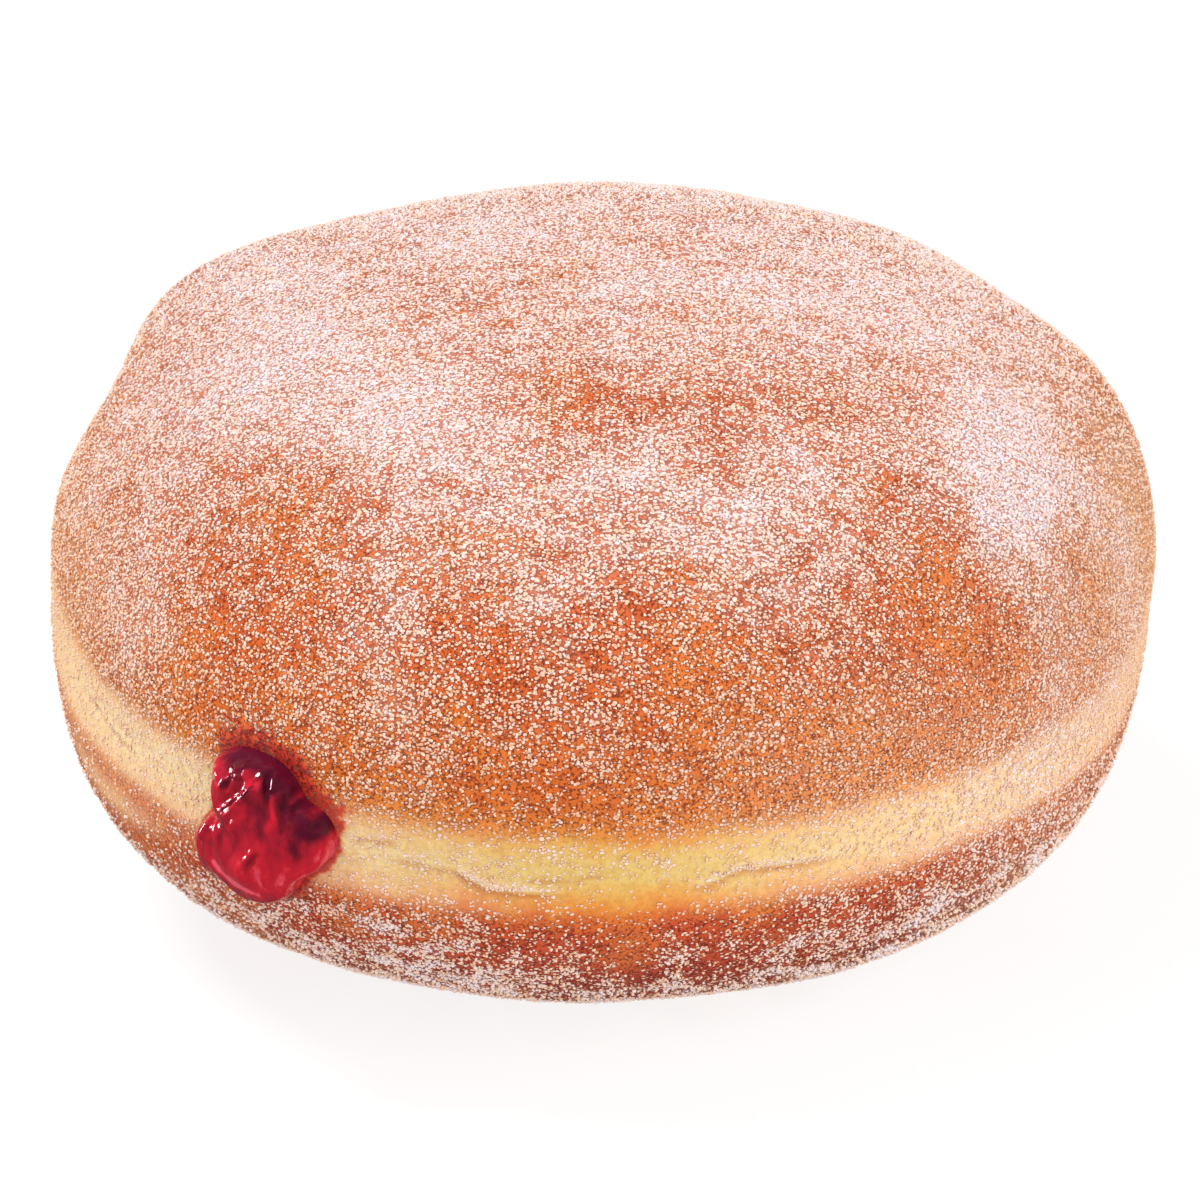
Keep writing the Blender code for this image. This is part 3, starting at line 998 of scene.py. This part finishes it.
def strew(kind, look, threes, areas, blobTree):
    chance = np.random.default_rng(look["seed"])
    count = look["count"]
    crystals, faces = modelCrystals(look["shape"])
    weight = thickness(kind) * (1 - 0.95 * np.minimum(stain * 1.8, 1.0))
    share = areas * weight[threes].mean(1)
    picked = chance.choice(len(threes), int(count * 1.15), p=share / share.sum())
    mixes = chance.dirichlet((1, 1, 1), len(picked))
    at = (crustPoints[threes[picked]] * mixes[:, :, None]).sum(1)
    lean = (crustOut[threes[picked]] * mixes[:, :, None]).sum(1)
    thick = (dust[threes[picked]] * mixes).sum(1)
    up = (above[threes[picked]] * mixes).sum(1)
    clear = sugarLook["clearOfJelly"] * mm
    free = [blobTree.find_nearest(spot)[3] > clear for spot in at.tolist()]
    at, lean, thick, up = (values[free][:count] for values in (at, lean, thick, up))
    count = len(at)
    sizes = chance.uniform(*look["size"], count) * mm
    lift = 0.5 - sugarLook["sunk"] - sugarLook["sunkMore"] * chance.random(count)
    at = at + lean * (sizes * lift)[:, None]
    turns = chance.normal(size=(count, 4))
    turns /= np.linalg.norm(turns, axis=1)[:, None]
    grains = crystals[chance.integers(0, len(crystals), count)]
    grains = np.einsum("nij,nkj->nki", turnMatrices(turns), grains) * sizes[:, None, None]
    grains += at[:, None, :]
    grains[:, :, 2] = np.maximum(grains[:, :, 2], 0.0)
    tints = sugarLook["tintVaries"] * chance.random(count) ** 1.4
    tints = tints + sugarLook["tintThin"] * (1 - np.clip(thick, 0, 1))
    tints += sugarLook["tintShoulder"] * bell((up - 7) / 5)
    tints += 0.8 * bell(up / 3.5) * (sugarLook["tintOnBand"] - tints)
    return joinedGrains(kind, grains, faces, tints)


def turnMatrices(turns):
    w, x, y, z = turns.T
    rows = [
        [1 - 2 * (y * y + z * z), 2 * (x * y - z * w), 2 * (x * z + y * w)],
        [2 * (x * y + z * w), 1 - 2 * (x * x + z * z), 2 * (y * z - x * w)],
        [2 * (x * z - y * w), 2 * (y * z + x * w), 1 - 2 * (x * x + y * y)],
    ]
    return np.array(rows).transpose(2, 0, 1)


def joinedGrains(name, grains, faces, tints):
    # one mesh of all the grains, and a map on which each grain has its own square
    count, corners = grains.shape[:2]
    sides = len(faces)
    mesh = bpy.data.meshes.new(name)
    loops = (faces[None] + np.arange(count)[:, None, None] * corners).reshape(-1)
    mesh.vertices.add(count * corners)
    mesh.vertices.foreach_set("co", grains.ravel())
    mesh.loops.add(len(loops))
    mesh.loops.foreach_set("vertex_index", loops.astype(np.int32))
    mesh.polygons.add(count * sides)
    mesh.polygons.foreach_set("loop_start", np.arange(0, len(loops), 3, dtype=np.int32))
    mesh.update(calc_edges=True)
    perSide = math.ceil(math.sqrt(count))
    square = np.stack(np.divmod(np.arange(count), perSide), 1)
    inside = np.array([(0, 0), (1, 0), (0, 1)])
    inside = sugarLook["squareInside"] * inside
    spread = (square[:, None, None, :] + sugarLook["squareEdge"] + inside) / perSide
    spread = np.broadcast_to(spread, (count, sides, 3, 2))
    layer = mesh.uv_layers.new(name="OFBake", do_init=False)
    layer.uv.foreach_set("vector", np.ascontiguousarray(spread, np.float32).ravel())
    heap = bpy.data.objects.new(name, mesh)
    bpy.context.scene.collection.objects.link(heap)
    keepValues(heap, "tint", np.repeat(tints, corners))
    return heap


def sugarFinish():
    finish = Finish("whiteSugar")
    tint = finish.value("tint")
    stops = rampStops(sugarLook["colours"])
    colour = finish.node("ValToRGB", {"stops": stops}, {"Fac": tint})
    finish.feed(finish.shader, {
        "Base Color": colour,
        "Roughness": finish.between(tint, 0.0, 1.0, 0.25, 0.50),
        "Specular IOR Level": 0.5,
    })
    return finish


threes, areas = crustFaces()
sugar = sugarFinish()
for kind, look in sugarKinds.items():
    heap = strew(kind, look, threes, areas, jellyTree)
    sugar.wear(heap)
    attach(heap, "root")
    print(kind, "strewn:", len(heap.data.vertices), "points")


stageLook = {
    "floorSize": 6.0,
    "floorGlow": 0.80,
    "floorTone": 0.26,
    "mirroredTone": 0.10,      # the floor as gloss mirrors it
    "worldLight": 0.45,
    "mirroredWorld": 0.6,      # how much dimmer the world is where gloss mirrors it
    "elevation": 29.0,
    "distance": 0.630,
    "lens": 230.6,             # millimetres, as is the offset
    "aimOffset": (-0.2, 0.4, -3.0),
}

# Each light: where it stands, its size and its power. Gloss doesn't mirror these.
studioLights = {
    "key": {"at": (-0.42, 0.12, 0.95), "size": 0.55, "power": 8.6},
    "front": {"at": (0.55, -0.95, 0.62), "size": 1.20, "power": 5.5},
    "left": {"at": (-1.0, -0.5, 0.35), "size": 0.80, "power": 3.0},
    "right": {"at": (1.0, -0.3, 0.5), "size": 0.80, "power": 5.5},
}

# A small window that only gloss mirrors, for the glints on the jelly.
glintLight = {"at": (-0.92, 0.30, 0.26), "size": 0.42, "power": 24.0}


def addLight(name, look):
    bpy.ops.object.light_add(type="AREA", location=look["at"])
    lamp = bpy.context.object
    lamp.name = name + "Light"
    lamp.data.shape = "DISK"
    lamp.data.size = look["size"]
    lamp.data.energy = look["power"]
    towards = Vector((0, 0, widestLine)) - lamp.location
    lamp.rotation_euler = towards.to_track_quat("-Z", "Y").to_euler()
    return lamp


def setStage():
    deselectAll()
    bpy.ops.mesh.primitive_plane_add(size=stageLook["floorSize"])
    floor = bpy.context.object
    floor.name = "paleFloor"
    finish = Finish("paleFloor")
    mirrored = finish.node("LightPath", {}, {}, "Is Glossy Ray")
    glow = finish.mix(mirrored, grey(stageLook["floorGlow"]), grey(0.0))
    floorTone = grey(stageLook["floorTone"])
    floorTone = finish.mix(mirrored, floorTone, grey(stageLook["mirroredTone"]))
    finish.feed(finish.shader, {"Base Color": floorTone, "Roughness": 0.9,
                                "Specular IOR Level": 0.1,
                                "Emission Color": glow, "Emission Strength": 1.0})
    finish.wear(floor)
    for name, look in studioLights.items():
        addLight(name, look).visible_glossy = False
    glint = addLight("glint", glintLight)
    glint.visible_diffuse = False
    receivers = bpy.data.collections.new("litByGlint")
    receivers.objects.link(jelly)
    glint.light_linking.receiver_collection = receivers
    sky = Finish("softStudio", "worlds", "Background")
    bpy.context.scene.world = sky.owner
    seen = sky.node("LightPath", {}, {}, "Is Camera Ray")
    mirrored = sky.node("LightPath", {}, {}, "Is Glossy Ray")
    lit = (1 - mirrored * stageLook["mirroredWorld"]) * stageLook["worldLight"]
    sky.feed(sky.shader, {"Color": (1, 1, 1, 1), "Strength": seen.atLeast(lit)})


def setCamera():
    low, high = (Vector(corner) for corner in cadBox)
    aim = (low + high) / 2 + Vector(stageLook["aimOffset"]) * mm
    lift = math.radians(stageLook["elevation"])
    away = Vector((0, -math.cos(lift), math.sin(lift))) * stageLook["distance"]
    bpy.ops.object.camera_add(location=aim + away)
    camera = bpy.context.object
    camera.name = "camera"
    camera.rotation_euler = (-away).to_track_quat("-Z", "Y").to_euler()
    camera.data.lens = stageLook["lens"]
    camera.data.sensor_width = 36.0
    camera.data.clip_start = 0.01
    camera.data.clip_end = 20.0
    bpy.context.scene.camera = camera
    bpy.context.scene.view_settings.view_transform = "Standard"


setStage()
setCamera()
print("stage set")

deselectAll()
